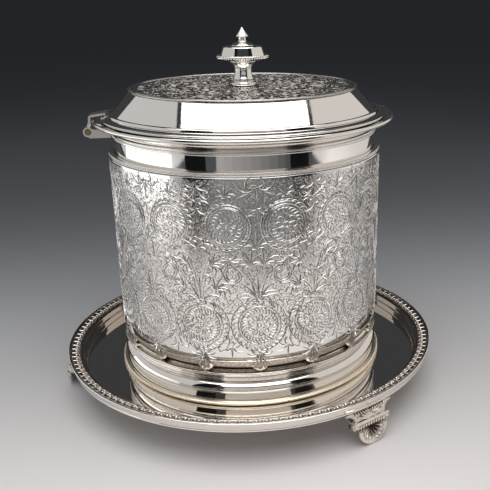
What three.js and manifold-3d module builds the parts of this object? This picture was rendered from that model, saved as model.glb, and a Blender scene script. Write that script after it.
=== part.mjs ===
// Silver-plated biscuit barrel with a hinged lid, standing on a footed round tray.
// Millimetres, +Z up. The origin is the centre of the stand at table level, the hinge is at -X.

import * as THREE from 'three';
import { mergeVertices } from 'three/addons/utils/BufferGeometryUtils.js';
import Module from 'manifold-3d';

const wasm = await Module();
wasm.setup();

// Fits and metal
const seam = 0.3; // gap between faces that are soldered or seated together
const sheet = 1.2; // thickness of the plated sheet
const softEdge = 0.4; // width of the softened edges
const ringSides = 40; // facets round the large rings
const smallSides = 18; // facets round the finial
const lap = 0.3; // how deep parts of one casting run into each other

// Tray
const trayRadius = 115;
const rimHeight = 6.3; // turned-down outer rim
const rimTaper = 2.2; // how far the rim's lower edge lies inside its top
const wellDepth = 9.9; // rim top down to the polished well
const lipWidth = 0.6; // plain lip outside the ornament band
const borderWidth = 7; // applied ornament band
const borderThick = 1;
const borderCrown = 0.35;
const borderDip = 1.2; // fall of the band towards the well
const reedSteps = 2; // steps in the reeded inner wall
const reedTread = 1.4; // width of each step
const reedBack = 0.2; // how far a step's foot lies behind its head

// Feet
const footNames = ['foot_left', 'foot_front_right', 'foot_rear_right']; // evenly round the tray from -X
const shellRadius = 11.3;
const shellReach = 3.5; // how far the toe stands out past the tray
const shellLip = 2.1; // radius of the rolled lip
const shellDish = 4; // depth of the hollow behind the lip's centre
const shellThick = 1.2;
const shellBackRadius = 6.2; // flat on the back of the shell
const shellFlutes = 7;
const fluteDepth = 0.8;
const padDepth = 0.3; // flat worn on the lip where it meets the table
const barLength = 25;
const barHeight = 4.2;
const barDepth = 6.6;
const barReach = 0.6; // how far the bar stands out past the tray
const barFillet = 1.8; // plain band along the bar's top
const barStep = 1.3; // egg row set back from the plain band
const barInset = 0.7; // egg row's block short of each bar end
const eggPitch = 2.6;
const eggRadius = 1.15;
const eggTip = 0.65;
const scrollRadius = 2.2;
const scrollWidth = 2;
const scrollDrop = 0.5; // scrolls hang this far below the bar
const panelHeight = 5.2; // bar up to the tray's rim
const panelTopWidth = 33;
const panelLowWidth = 21.6;
const panelThick = 2.2;
const panelSetback = 1.9; // panel's face behind the bar's
const panelFlare = 1.6; // bow of the panel's flared sides
const panelEdge = 1.1; // height of the panel's ends under the rim
const tangWidth = 16;
const tangThick = 2.3;
const tangRise = 1.8; // how far the tang reaches up behind the tray's rim
const leafWidth = 19;
const leafHeight = 5.6;
const leafThick = 1.1;
const leafLobes = 5;
const leafCut = 0.16; // depth of the cuts between lobes, as a share of the leaf

// Barrel
const barrelRadius = 79.9;
const barrelTaper = 0.7; // the drum is this much wider at its shoulder
const barrelHeight = 110.2;
const turnIn = 5.9; // lower edge, drawn in over the plinth
const turnInHeight = 12.5;
const turnInBow = 1.6;
const shoulderHeight = 0.9;
const shoulderFall = 0.6;
const shoulderWidth = 2.9; // drum's shoulder in to the neck
const floorLift = 1.8; // floor above the drum's lower edge

// Foot of the barrel
const girdleStep = 2; // upper skirt outside the drum's lower edge
const skirtStep = 3.2; // skirt's foot outside its upper band
const skirtHeight = 19.5;
const coveDepth = 0.6;
const coveLow = 2.5; // skirt foot to the cove
const coveHeight = 4.1;
const filletStep = 0.4; // plain band above the cove, out from the skirt's foot
const filletHeight = 2.2;
const baseWireWidth = 2.7;
const baseWireHeight = 2.1;
const torusWidth = 3.7;
const torusHeight = 3.8;
const reedWidth = 1.3;
const reedGroove = 0.6; // depth of the grooves between reeds
const reedHeight = 1.2;
const reedCount = 2;
const plinthWidth = 3.7; // plinth's edge out from the upper skirt
const plinthEdge = 1.3; // thickness of the plinth's edge
const plinthRise = 0.7; // plinth's inner edge above the skirt's top
const plinthFall = 0.9; // fall of the plinth's top to its edge
const plinthBow = 0.5; // hollow of the cove under the plinth

// Neck and mouth
const neckRise = 19.9; // shoulder to the mouth rim's top
const neckLap = 7.4; // neck inside the drum
const mouthReach = 9.8; // mouth's edge out from the neck
const mouthThick = 1.3;
const mouthLedge = 6.7; // flat of the mouth's rim
const mouthFall = 2.5; // throat's height inside the rim
const flareHeight = 4.7;
const flareBow = 1.5;
const rimWireWidth = 1;
const rimWireHeight = 2.3;
const lowerWireWidth = 3.1;
const lowerWireHeight = 2.3;
const upperWireWidth = 0.9;
const upperWireHeight = 3;

// Lid
const lidInset = 4.8; // flange edge inside the mouth's edge
const lidFlange = 1.6; // flange edge thickness
const flangeWidth = 4.5;
const flangeRise = 3; // slope's foot above the flange's underside
const slopeRun = 11;
const lidRise = 15.8; // flange underside to the flat top
const edgeWireWidth = 1.1;
const edgeWireHeight = 1.8;
const slopeRingWidth = 1.5;
const slopeRingHeight = 1.2;
const topWireWidth = 2.2;
const topWireHeight = 0.9;
const plateInset = 2.9; // plate's edge inside the lid's flat top
const plateThick = 0.6;
const bezelClearance = 0.2; // between the bezel and the neck's bore
const bezelWall = 1;
const bezelDrop = 4.8; // bezel below the lid's flange

// Hinge
const hingeGap = 2; // milled rim to the pin's axis
const hingeDrop = 6.1; // pin's axis below the mouth rim's top
const hingeLength = 21;
const knuckleCount = 5;
const knuckleRadius = 2.9;
const knuckleGap = 0.35;
const knuckleSides = 14;
const pinRadius = 1.55;
const pinClearance = 0.3;
const pinStick = 0.3; // pin end standing out of the knuckle
const bracketDrop = 3.6; // bracket's underside below the pin's axis
const bracketRise = 1.5; // bracket's ridge above the pin's axis
const strapThick = 1.2;
const strapGrip = 3.2; // strap's lap over the lid's flange

// Finial
const studRadius = 1.6;
const studClearance = 0.3;
const finialFootRadius = 7.7;
const finialFootHeight = 2;
const finialStepRadius = 6.3;
const finialStepHeight = 1.1;
const stemHeight = 10.6;
const stemFootRadius = 6;
const stemWaist = 4.9;
const stemWaistShare = 0.45; // waist's place on the stem's height
const stemTopRadius = 7.6;
const drumHeight = 5.7;
const drumTopRadius = 11.6;
const drumFlare = 1.7; // drum's foot outside its top
const saucerRim = 2.1; // saucer's lip outside the drum
const saucerHeight = 3.1;
const saucerWell = 1.1; // drum's seat below the saucer's lip
const tipDiscRadius = 6.55;
const tipDiscHeight = 2.2;
const tipStemRadius = 2.2;
const tipStemHeight = 3;
const tipConeRadius = 3.65;
const tipConeHeight = 5.4;
const lidWasherRadius = 6;
const washerThick = 0.8;
const lidNutWidth = 7.2; // across the corners
const lidNutHeight = 2.5;
const studTail = 1; // stud showing below the nut

// Tie between barrel and tray
const tieRadius = 2.5;
const tieHeadRadius = 9;
const tieHeadThick = 1.2;
const tieWasherRadius = 9;
const tieNutWidth = 11;
const tieNutHeight = 3.6;

// Levels, from the table up
const barLow = shellRadius - padDepth;
const barTop = barLow + barHeight;
const rimLow = barTop + panelHeight + seam;
const rimTop = rimLow + rimHeight;
const well = rimTop - wellDepth;
const trayUnder = well - sheet;
const skirtLow = well + seam;
const skirtTop = skirtLow + skirtHeight;
const barrelLow = skirtTop + seam;
const barrelTop = barrelLow + barrelHeight;
const floorLow = barrelLow + floorLift;
const mouthTop = barrelTop + neckRise;
const mouthLow = mouthTop - mouthThick;
const rimWireTop = mouthLow + rimWireHeight;
const flareLow = mouthLow - flareHeight;
const lidLow = mouthTop + seam;
const lidTop = lidLow + lidRise;
const plateLow = lidTop + seam;
const plateTop = plateLow + plateThick;

// Radii, from the drum outwards and inwards
const drumTop = barrelRadius + barrelTaper;
const turnInRadius = barrelRadius - turnIn;
const girdleRadius = turnInRadius + girdleStep;
const skirtRadius = girdleRadius + skirtStep;
const shoulderRadius = drumTop - shoulderWidth;
const neckRadius = shoulderRadius - seam;
const neckBore = neckRadius - sheet;
const mouthRadius = neckRadius + mouthReach;
const lidRadius = mouthRadius - lidInset;
const slopeFootRadius = lidRadius - flangeWidth;
const slopeTopRadius = slopeFootRadius - slopeRun;
const hingeReach = mouthRadius + seam + rimWireWidth + hingeGap;

const silver = (roughness) => new THREE.MeshStandardMaterial({ color: 0xcfccc6, roughness, metalness: 1 });
const bright = silver(0.08);
const chased = silver(0.3);
const cast = silver(0.35);
const plain = silver(0.45);
const brass = new THREE.MeshStandardMaterial({ color: 0xb08d4f, roughness: 0.35, metalness: 1 });

const at = (radius, level) => new THREE.Vector2(radius, level);

// Points of a curved stretch between two points, bowed to the left of the way from one to the other.
function bow(from, to, rise, steps) {
  const across = to.clone().sub(from);
  const side = new THREE.Vector2(-across.y, across.x).normalize();
  return Array.from({ length: steps - 1 }, (_, i) => {
    const t = (i + 1) / steps;
    return from.clone().lerp(to, t).addScaledVector(side, 4 * rise * t * (1 - t));
  });
}

// Spins an outline about the Y axis. An outline that doesn't start on the axis closes on itself.
function spin(outline, sides) {
  const points = THREE.ShapeUtils.area(outline) < 0 ? outline.slice().reverse() : outline.slice();
  if (outline[0].x > 0) points.push(points[0].clone());
  return new THREE.LatheGeometry(points, sides);
}

const turn = (outline, sides = ringSides) => spin(outline, sides).rotateX(Math.PI / 2);

// Extrudes an outline of the X-Z plane along +Y, from the given Y.
function slab(outline, start, depth) {
  const geometry = new THREE.ExtrudeGeometry(new THREE.Shape(outline), { depth, bevelEnabled: false });
  return geometry.rotateX(Math.PI / 2).translate(0, start + depth, 0);
}

function toSolid(geometry) {
  const bare = geometry.clone();
  bare.deleteAttribute('normal');
  bare.deleteAttribute('uv');
  const merged = mergeVertices(bare, 1e-4);
  const index = merged.index.array;
  const kept = [];
  for (let i = 0; i < index.length; i += 3) {
    const [a, b, c] = index.slice(i, i + 3);
    if (a !== b && b !== c && c !== a) kept.push(a, b, c);
  }
  const vertProperties = new Float32Array(merged.attributes.position.array);
  return new wasm.Manifold(new wasm.Mesh({ numProp: 3, vertProperties, triVerts: new Uint32Array(kept) }));
}

function toGeometry(solid) {
  const mesh = solid.getMesh();
  const geometry = new THREE.BufferGeometry();
  geometry.setAttribute('position', new THREE.BufferAttribute(new Float32Array(mesh.vertProperties), 3));
  geometry.setIndex(new THREE.BufferAttribute(new Uint32Array(mesh.triVerts), 1));
  geometry.computeVertexNormals();
  return geometry;
}

const join = (geometries) => geometries.map(toSolid).reduce((whole, piece) => whole.add(piece));

const object = new THREE.Group();

function add(name, geometry, material) {
  const mesh = new THREE.Mesh(geometry, material.clone());
  mesh.name = name;
  object.add(mesh);
  return mesh;
}

// Tray

const tieHole = tieRadius + seam;
const borderOuter = trayRadius - lipWidth;
const borderInner = borderOuter - borderWidth;
const seatOuter = rimTop - borderThick - seam;
const seatInner = seatOuter - borderDip;
const rimLowRadius = trayRadius - rimTaper;

function trayOutline() {
  const rise = (seatInner - well) / reedSteps;
  const wallFoot = borderInner - reedSteps * reedTread;
  const steps = [];
  for (let i = 0; i < reedSteps; i += 1) {
    const head = at(wallFoot + (i + 1) * reedTread, well + (i + 1) * rise - softEdge);
    steps.push(at(head.x - reedBack, head.y - rise / 2), head);
  }
  return [
    at(tieHole, well),
    at(wallFoot, well),
    ...steps,
    at(borderOuter, seatOuter),
    at(borderOuter, rimTop),
    at(trayRadius, rimTop - softEdge),
    at(rimLowRadius, rimLow),
    at(rimLowRadius - sheet, rimLow),
    at(borderOuter - sheet, seatOuter - sheet),
    at(borderInner + softEdge, seatInner - sheet),
    at(wallFoot + softEdge, trayUnder),
    at(tieHole, trayUnder),
  ];
}

function borderOutline() {
  const inner = at(borderInner + seam, seatInner + seam);
  const outer = at(borderOuter - seam, seatOuter + seam);
  const thick = borderThick - borderCrown;
  const topInner = at(inner.x, inner.y + thick);
  const topOuter = at(outer.x, outer.y + thick);
  return [inner, topInner, ...bow(topInner, topOuter, borderCrown, 2), topOuter, outer];
}

add('tray', turn(trayOutline()), bright);
add('tray_border', turn(borderOutline()), cast);

// Cast feet: a bracket under the rim, a bar of eggs and a scallop shell that meets the table.
// A foot is modelled with X along the tray's edge and Y outwards, then turned to its place.

const toeFront = trayRadius + shellReach;
const barFront = trayRadius + barReach;
const eggFace = barFront - barStep;
const panelBack = barFront - panelSetback - panelThick;

function shell() {
  const lipCentre = at(shellRadius - shellLip, toeFront - shellLip);
  const lipSteps = 5;
  const lipStart = 0.8 * Math.PI; // the lip rolls from the hollow's edge
  const lipEnd = -0.55 * Math.PI; // over the front to the back
  const lip = [];
  for (let i = 0; i <= lipSteps; i += 1) {
    const angle = THREE.MathUtils.lerp(lipStart, lipEnd, i / lipSteps);
    lip.push(at(lipCentre.x + shellLip * Math.cos(angle), lipCentre.y + shellLip * Math.sin(angle)));
  }
  const hollow = at(0, toeFront - shellLip - shellDish);
  const back = hollow.y - shellThick;
  const dishBow = -shellDish / 4;
  const dish = bow(hollow, lip[0], dishBow, 3);
  const outline = [at(0, back), at(shellBackRadius, back), ...lip.slice().reverse(), ...dish.reverse(), hollow];
  const geometry = spin(outline, shellFlutes * 4);
  const place = geometry.attributes.position;
  for (let i = 0; i < place.count; i += 1) {
    const reach = Math.hypot(place.getX(i), place.getZ(i));
    const inHollow = reach < lip[0].x && place.getY(i) > back + shellThick / 2;
    const swell = inHollow ? Math.sin((Math.PI * reach) / lip[0].x) : 0;
    const angle = Math.atan2(place.getX(i), place.getZ(i));
    place.setY(i, place.getY(i) + fluteDepth * swell * Math.cos(2 * shellFlutes * angle));
  }
  return geometry.translate(0, 0, barLow);
}

function bracketPanel() {
  const top = rimLow - seam;
  const low = at(panelLowWidth / 2, barTop - lap);
  const high = at(panelTopWidth / 2, top - panelEdge);
  const right = [low, ...bow(low, high, panelFlare, 4), high, at(high.x, top)];
  return [...right, ...right.map((p) => at(-p.x, p.y)).reverse()];
}

function leafOutline() {
  const steps = leafLobes * 3;
  const points = [];
  for (let i = 0; i <= steps; i += 1) {
    const angle = (Math.PI * i) / steps;
    const reach = 1 - leafCut - leafCut * Math.cos(2 * leafLobes * angle);
    points.push(at((leafWidth / 2) * reach * Math.cos(angle), leafHeight * reach * Math.sin(angle)));
  }
  return points;
}

function box(width, depth, height, back, low) {
  return new THREE.BoxGeometry(width, depth, height).translate(0, back + depth / 2, low + height / 2);
}

function eggRow() {
  const height = barHeight - barFillet + lap;
  const count = Math.max(1, Math.floor((barLength - 2 * scrollWidth) / eggPitch));
  return Array.from({ length: count }, (_, i) => {
    const egg = new THREE.CylinderGeometry(eggRadius, eggTip, height, 6).rotateX(Math.PI / 2);
    return egg.translate((i - (count - 1) / 2) * eggPitch, eggFace, barLow + height / 2);
  });
}

function scrollEnd(side) {
  const scroll = new THREE.CylinderGeometry(scrollRadius, scrollRadius, scrollWidth, 10).rotateZ(Math.PI / 2);
  const centre = (barLength - scrollWidth) / 2;
  return scroll.translate(side * centre, barFront - scrollRadius, barLow + scrollRadius - scrollDrop);
}

function foot() {
  const barBack = barFront - barDepth;
  const rimInside = Math.hypot(rimLowRadius - sheet, tangWidth / 2) - tangWidth ** 2 / (4 * trayRadius);
  const tangBack = rimInside - 2 * seam - tangThick;
  const pieces = [
    box(barLength, barDepth, barFillet, barBack, barTop - barFillet),
    box(barLength - 2 * barInset, barDepth - barStep, barHeight - lap, barBack, barLow),
    box(tangWidth, tangThick, rimLow + tangRise - barTop + lap, tangBack, barTop - lap),
    slab(bracketPanel(), panelBack, panelThick),
    slab(leafOutline(), panelBack + panelThick - lap, leafThick + lap).translate(0, 0, barTop - lap),
    scrollEnd(-1),
    scrollEnd(1),
    ...eggRow(),
  ];
  const wide = 4 * shellRadius;
  const below = box(wide, wide, wide, toeFront - wide / 2, -wide);
  const above = box(wide, wide, wide, toeFront - wide / 2, barLow + lap);
  const toe = toSolid(shell()).subtract(toSolid(below)).subtract(toSolid(above));
  return toGeometry(join(pieces).add(toe));
}

footNames.forEach((name, i) => {
  const mesh = add(name, foot(), cast);
  mesh.rotation.z = Math.PI / 2 + (2 * Math.PI * i) / footNames.length;
});

// Foot of the barrel: skirt with its cove, base wire, torus, and reeds under a plinth

const coveFoot = at(skirtRadius, skirtLow + coveLow);
const coveHead = at(skirtRadius, coveFoot.y + coveHeight);
const shelfTop = coveHead.y + filletHeight;
const torusLow = shelfTop + seam;

// The skirt's top turns in as a ledge that carries the drum.
function skirtOutline() {
  const ledge = turnInRadius - 2 * sheet;
  return [
    at(skirtRadius, skirtLow),
    coveFoot,
    ...bow(coveFoot, coveHead, coveDepth, 3),
    coveHead,
    at(skirtRadius + filletStep, coveHead.y + filletStep),
    at(skirtRadius + filletStep, shelfTop),
    at(girdleRadius, shelfTop),
    at(girdleRadius, skirtTop),
    at(ledge, skirtTop),
    at(ledge, skirtTop - sheet),
    at(girdleRadius - sheet, skirtTop - sheet),
    at(girdleRadius - sheet, shelfTop - sheet),
    at(skirtRadius - sheet, coveHead.y),
    at(skirtRadius - coveDepth - sheet, (coveFoot.y + coveHead.y) / 2),
    at(skirtRadius - sheet, coveFoot.y - sheet / 2),
    at(skirtRadius - sheet, skirtLow),
  ];
}

// Ring of half-round section round a wall. Its outermost facet or edge is at the full width.
function halfRound(wall, width, low, height, steps) {
  const widest = Math.cos((Math.PI * (steps % 2)) / (2 * steps));
  return Array.from({ length: steps + 1 }, (_, i) => {
    const angle = Math.PI * (i / steps - 0.5);
    const reach = (width * Math.cos(angle)) / widest;
    return at(wall + seam + reach, low + (height * (1 + Math.sin(angle))) / 2);
  });
}

// Ring of quarter-round section that faces up and outwards, with its widest edge below.
function quarterRound(wall, width, low, height, steps) {
  const inner = wall + seam;
  const arc = Array.from({ length: steps + 1 }, (_, i) => {
    const angle = (Math.PI * i) / (2 * steps);
    return at(inner + width * Math.cos(angle), low + height * Math.sin(angle));
  });
  return [at(inner, low), ...arc];
}

function reedsOutline() {
  const inner = girdleRadius + seam;
  const low = torusLow + torusHeight + seam;
  const groove = inner + reedWidth - reedGroove;
  const edge = inner + plinthWidth;
  const edgeTop = skirtTop + plinthRise - plinthFall;
  const hollowFoot = at(groove, low + reedCount * reedHeight);
  const hollowHead = at(edge - softEdge, edgeTop - plinthEdge);
  const points = [at(inner, low)];
  for (let i = 0; i < reedCount; i += 1) {
    if (i > 0) points.push(at(groove, low + i * reedHeight));
    points.push(at(inner + reedWidth, low + (i + 0.5) * reedHeight));
  }
  return [
    ...points,
    hollowFoot,
    ...bow(hollowFoot, hollowHead, plinthBow, 2),
    hollowHead,
    at(edge, edgeTop - plinthEdge / 2),
    at(edge - softEdge, edgeTop),
    at(inner, skirtTop + plinthRise),
  ];
}

add('base_skirt', turn(skirtOutline()), bright);
add('base_wire', turn(halfRound(skirtRadius, baseWireWidth, skirtLow, baseWireHeight, 4)), cast);
add('girdle_torus', turn(quarterRound(girdleRadius, torusWidth, torusLow, torusHeight, 4)), bright);
add('girdle_reeds', turn(reedsOutline()), bright);

// Drum

function wallOutline() {
  const edge = at(turnInRadius, barrelLow);
  const spring = at(barrelRadius, barrelLow + turnInHeight);
  const shoulderFoot = barrelTop - shoulderHeight;
  return [
    edge,
    ...bow(edge, spring, -turnInBow, 3),
    spring,
    at(drumTop, shoulderFoot),
    at(drumTop - shoulderFall, barrelTop),
    at(shoulderRadius, barrelTop),
    at(shoulderRadius, barrelTop - sheet),
    at(drumTop - sheet, shoulderFoot - sheet),
    at(barrelRadius - sheet, spring.y),
    at(turnInRadius + seam, floorLow - seam),
    at(turnInRadius - sheet, barrelLow + seam),
  ];
}

function floorOutline() {
  const edge = turnInRadius - seam;
  return [at(0, floorLow), at(edge, floorLow), at(edge, floorLow + sheet), at(0, floorLow + sheet)];
}

add('barrel_wall', turn(wallOutline()), chased);
add('barrel_floor', turn(floorOutline()), plain);

// Neck and mouth

function neckOutline() {
  const neckLow = barrelTop - neckLap;
  const flareFoot = at(neckRadius, flareLow);
  const flareHead = at(mouthRadius, mouthLow);
  return [
    at(neckRadius, neckLow),
    flareFoot,
    ...bow(flareFoot, flareHead, flareBow, 3),
    flareHead,
    at(mouthRadius, mouthTop),
    at(mouthRadius - mouthLedge, mouthTop),
    at(neckRadius, mouthTop - mouthFall),
    at(neckBore, flareLow + sheet / 2),
    at(neckBore, neckLow),
  ];
}

const lowerWireLow = barrelTop + seam;
const upperWireLow = flareLow - upperWireHeight - seam;
add('neck', turn(neckOutline()), bright);
add('neck_lower_wire', turn(halfRound(neckRadius, lowerWireWidth, lowerWireLow, lowerWireHeight, 4)), cast);
add('neck_upper_wire', turn(halfRound(neckRadius, upperWireWidth, upperWireLow, upperWireHeight, 3)), cast);
add('rim_wire', turn(halfRound(mouthRadius, rimWireWidth, mouthLow, rimWireHeight, 3)), cast);

// Lid

const studHole = studRadius + studClearance;
const lidUnderRadius = slopeFootRadius - 0.75 * sheet;
const underTopRadius = slopeTopRadius - 0.75 * sheet;

function lidOutline() {
  return [
    at(studHole, lidTop),
    at(slopeTopRadius - softEdge, lidTop),
    at(slopeTopRadius, lidTop - softEdge),
    at(slopeFootRadius, lidLow + flangeRise),
    at(lidRadius, lidLow + lidFlange),
    at(lidRadius, lidLow),
    at(lidUnderRadius, lidLow),
    at(underTopRadius, lidTop - sheet),
    at(studHole, lidTop - sheet),
  ];
}

const flangeTopAt = (radius) =>
  lidLow + THREE.MathUtils.mapLinear(radius, slopeFootRadius, lidRadius, flangeRise, lidFlange);

function slopeRingOutline() {
  const inner = slopeFootRadius + softEdge;
  const outer = inner + slopeRingWidth;
  const foot = flangeTopAt(inner) + seam;
  const low = flangeTopAt(outer) + seam;
  return [at(inner, foot), at(outer, low), at(outer, low + slopeRingHeight / 2), at(inner, foot + slopeRingHeight)];
}

function topWireOutline() {
  const low = lidTop + seam;
  const high = low + topWireHeight;
  const outer = slopeTopRadius + seam;
  const inner = outer - topWireWidth;
  return [at(inner, low), at(outer, low), at(outer - softEdge, high), at(inner + softEdge, high)];
}

function plateOutline() {
  const edge = slopeTopRadius - plateInset;
  return [at(studHole, plateLow), at(edge, plateLow), at(edge, plateTop), at(studHole, plateTop)];
}

// The bezel's top follows the underside of the lid's slope.
function bezelOutline() {
  const outer = neckBore - bezelClearance;
  const inner = outer - bezelWall;
  const under = (radius) => THREE.MathUtils.mapLinear(radius, lidUnderRadius, underTopRadius, lidLow, lidTop - sheet);
  const low = lidLow - bezelDrop;
  return [at(inner, low), at(outer, low), at(outer, under(outer) - 2 * seam), at(inner, under(inner) - 2 * seam)];
}

add('lid_shell', turn(lidOutline()), bright);
add('lid_edge_wire', turn(halfRound(lidRadius, edgeWireWidth, lidLow, edgeWireHeight, 3)), bright);
add('lid_slope_ring', turn(slopeRingOutline()), bright);
add('lid_top_wire', turn(topWireOutline()), cast);
add('lid_top_plate', turn(plateOutline()), chased);
add('lid_bezel', turn(bezelOutline()), plain);

// Hinge: the outlines lie in the X-Z plane with X outwards from the barrel, and end up at -X.

const pinLevel = mouthTop - hingeDrop;
const knuckleLength = (hingeLength - (knuckleCount - 1) * knuckleGap) / knuckleCount;
const boreRadius = pinRadius + pinClearance;

const knuckleStart = (index) => -hingeLength / 2 + index * (knuckleLength + knuckleGap);

function tube(radius, start, length) {
  const rod = new THREE.CylinderGeometry(radius, radius, length, knuckleSides);
  return rod.translate(hingeReach, start + length / 2, 0).translate(0, 0, pinLevel);
}

// Adds a leaf's own knuckles and cuts the pin's bore and the room in which the other's knuckles turn.
function finishLeaf(leaf, ownFirst) {
  let solid = leaf;
  for (let index = 0; index < knuckleCount; index += 1) {
    const start = knuckleStart(index);
    if (index % 2 === ownFirst) {
      solid = solid.add(toSolid(tube(knuckleRadius, start, knuckleLength)));
    } else {
      const room = tube(knuckleRadius + 2 * seam, start - knuckleGap, knuckleLength + 2 * knuckleGap);
      solid = solid.subtract(toSolid(room));
    }
  }
  const bore = tube(boreRadius, -hingeLength, 2 * hingeLength);
  return toGeometry(solid.subtract(toSolid(bore)));
}

function bracket() {
  const width = hingeLength - 2 * seam;
  const back = neckRadius + seam + upperWireWidth + seam;
  const root = back - 2 * knuckleRadius;
  const low = pinLevel - bracketDrop;
  const outline = [
    at(root, low),
    at(hingeReach - softEdge, low),
    at(hingeReach, pinLevel - knuckleRadius + softEdge),
    at(hingeReach, pinLevel),
    at(hingeReach - knuckleRadius + softEdge, pinLevel + bracketRise),
    at(root, pinLevel - softEdge),
  ];
  const tall = 4 * bracketDrop;
  const drum = new THREE.CylinderGeometry(back, back, tall, ringSides).rotateX(Math.PI / 2);
  const block = toSolid(slab(outline, -width / 2, width)).subtract(toSolid(drum.translate(0, 0, pinLevel)));
  return finishLeaf(block, 0);
}

function strap() {
  const width = hingeLength - 2 * (knuckleLength + knuckleGap + seam);
  const lidEdge = lidRadius + seam + edgeWireWidth;
  const near = lidEdge - strapGrip;
  const under = flangeTopAt(near) + seam;
  const edgeTop = lidLow + edgeWireHeight + seam;
  const back = hingeReach - hingeGap + 2 * seam;
  const front = back + strapThick;
  const knuckle = pinLevel + knuckleRadius * Math.SQRT1_2;
  const outline = [
    at(near, under),
    at(lidEdge, edgeTop),
    at(back, rimWireTop + 2 * seam),
    at(back, mouthLow),
    at(hingeReach - strapThick, knuckle),
    at(hingeReach + strapThick, knuckle),
    at(front + softEdge, mouthLow),
    at(front, rimWireTop + strapThick),
    at(back - softEdge, edgeTop + strapThick / 2),
    at(near, under + strapThick),
  ];
  return finishLeaf(toSolid(slab(outline, -width / 2, width)), 1);
}

const turned = (geometry) => geometry.rotateZ(Math.PI);
add('hinge_bracket', turned(bracket()), bright);
add('lid_hinge_leaf', turned(strap()), bright);
add('hinge_pin', turned(tube(pinRadius, -hingeLength / 2 - pinStick, hingeLength + 2 * pinStick)), brass);

// Finial, threaded on a stud through the lid

const footLow = plateTop + seam;
const footTop = footLow + finialFootHeight;
const stepTop = footTop + finialStepHeight;
const stemLow = stepTop + seam;
const stemTop = stemLow + stemHeight;
const saucerLow = stemTop + seam;
const saucerTop = saucerLow + saucerHeight;
const seatTop = saucerTop - saucerWell;
const drumLow = seatTop + seam;
const drumHigh = drumLow + drumHeight;
const tipLow = drumHigh + seam;
const drumLowRadius = drumTopRadius + drumFlare;
const saucerRadius = drumLowRadius + saucerRim;
const studTop = tipLow + tipDiscHeight - 3 * seam;

function finialFootOutline() {
  const low = at(finialFootRadius - softEdge, footLow);
  const high = at(finialFootRadius - softEdge, footTop);
  return [
    at(studHole, footLow),
    low,
    ...bow(low, high, -softEdge, 2),
    high,
    at(finialStepRadius, footTop + softEdge / 2),
    at(finialStepRadius, stepTop),
    at(studHole, stepTop),
  ];
}

function stemOutline() {
  const low = at(stemFootRadius, stemLow);
  const waist = at(stemWaist, stemLow + stemHeight * stemWaistShare);
  const high = at(stemTopRadius, stemTop);
  const sweep = (stemTopRadius - stemWaist) / 3;
  return [at(studHole, stemLow), low, waist, ...bow(waist, high, sweep, 3), high, at(studHole, stemTop)];
}

function saucerOutline() {
  const under = at(stemTopRadius, saucerLow);
  const lip = at(saucerRadius, saucerTop - softEdge);
  const belly = -saucerHeight / 4;
  return [
    at(studHole, saucerLow),
    under,
    ...bow(under, lip, belly, 3),
    lip,
    at(saucerRadius - softEdge, saucerTop),
    at(drumLowRadius + seam, seatTop),
    at(studHole, seatTop),
  ];
}

function drumOutline() {
  return [
    at(studHole, drumLow),
    at(drumLowRadius, drumLow),
    at(drumTopRadius, drumHigh - softEdge),
    at(drumTopRadius - softEdge, drumHigh),
    at(studHole, drumHigh),
  ];
}

// The boss, the stem and the little cone on top. The stud ends in a blind hole in the boss.
function tipOutline() {
  const discTop = tipLow + tipDiscHeight;
  const coneLow = discTop + tipStemHeight;
  const boreTop = studTop + seam;
  return [
    at(0, coneLow + tipConeHeight),
    at(tipConeRadius, coneLow + softEdge),
    at(tipConeRadius, coneLow),
    at(tipStemRadius, coneLow - softEdge),
    at(tipStemRadius, discTop),
    at(tipDiscRadius - softEdge, tipLow + softEdge),
    at(tipDiscRadius, tipLow),
    at(studHole, tipLow),
    at(studHole, boreTop),
    at(0, boreTop),
  ];
}

add('finial_base', turn(finialFootOutline(), smallSides), bright);
add('finial_stem', turn(stemOutline(), smallSides), bright);
add('finial_saucer', turn(saucerOutline(), smallSides), bright);
add('finial_drum', turn(drumOutline(), smallSides), bright);
add('finial_tip', turn(tipOutline(), smallSides), bright);

// Rod, washer and nut of a screwed joint, all on the Z axis

const rodSides = 12;

function rod(radius, low, high) {
  const cylinder = new THREE.CylinderGeometry(radius, radius, high - low, rodSides).rotateX(Math.PI / 2);
  return cylinder.translate(0, 0, (low + high) / 2);
}

function washer(hole, radius, low) {
  const high = low + washerThick;
  return turn([at(hole, low), at(radius, low), at(radius, high), at(hole, high)], rodSides);
}

function nut(hole, width, low, height) {
  const body = new THREE.CylinderGeometry(width / 2, width / 2, height, 6).rotateX(Math.PI / 2);
  const bore = rod(hole, low - height, low + 2 * height);
  return toGeometry(toSolid(body.translate(0, 0, low + height / 2)).subtract(toSolid(bore)));
}

const lidWasherLow = lidTop - sheet - seam - washerThick;
const lidNutLow = lidWasherLow - seam - lidNutHeight;
add('finial_stud', rod(studRadius, lidNutLow - studTail, studTop), plain);
add('lid_washer', washer(studHole, lidWasherRadius, lidWasherLow), plain);
add('lid_nut', nut(studHole, lidNutWidth, lidNutLow, lidNutHeight), plain);

const tieHeadTop = floorLow - seam;
const tieHeadLow = tieHeadTop - tieHeadThick;
const tieWasherLow = trayUnder - seam - washerThick;
const tieNutLow = tieWasherLow - seam - tieNutHeight;
const tieHead = rod(tieHeadRadius, tieHeadLow, tieHeadTop);
const tieRod = rod(tieRadius, tieNutLow - studTail, tieHeadLow + lap);
add('tie_stud', toGeometry(join([tieHead, tieRod])), plain);
add('tie_washer', washer(tieHole, tieWasherRadius, tieWasherLow), plain);
add('tie_nut', nut(tieHole, tieNutWidth, tieNutLow, tieNutHeight), plain);

export default object;
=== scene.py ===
import math
import random

import bmesh
import bpy
from mathutils import Matrix, Vector


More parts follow.
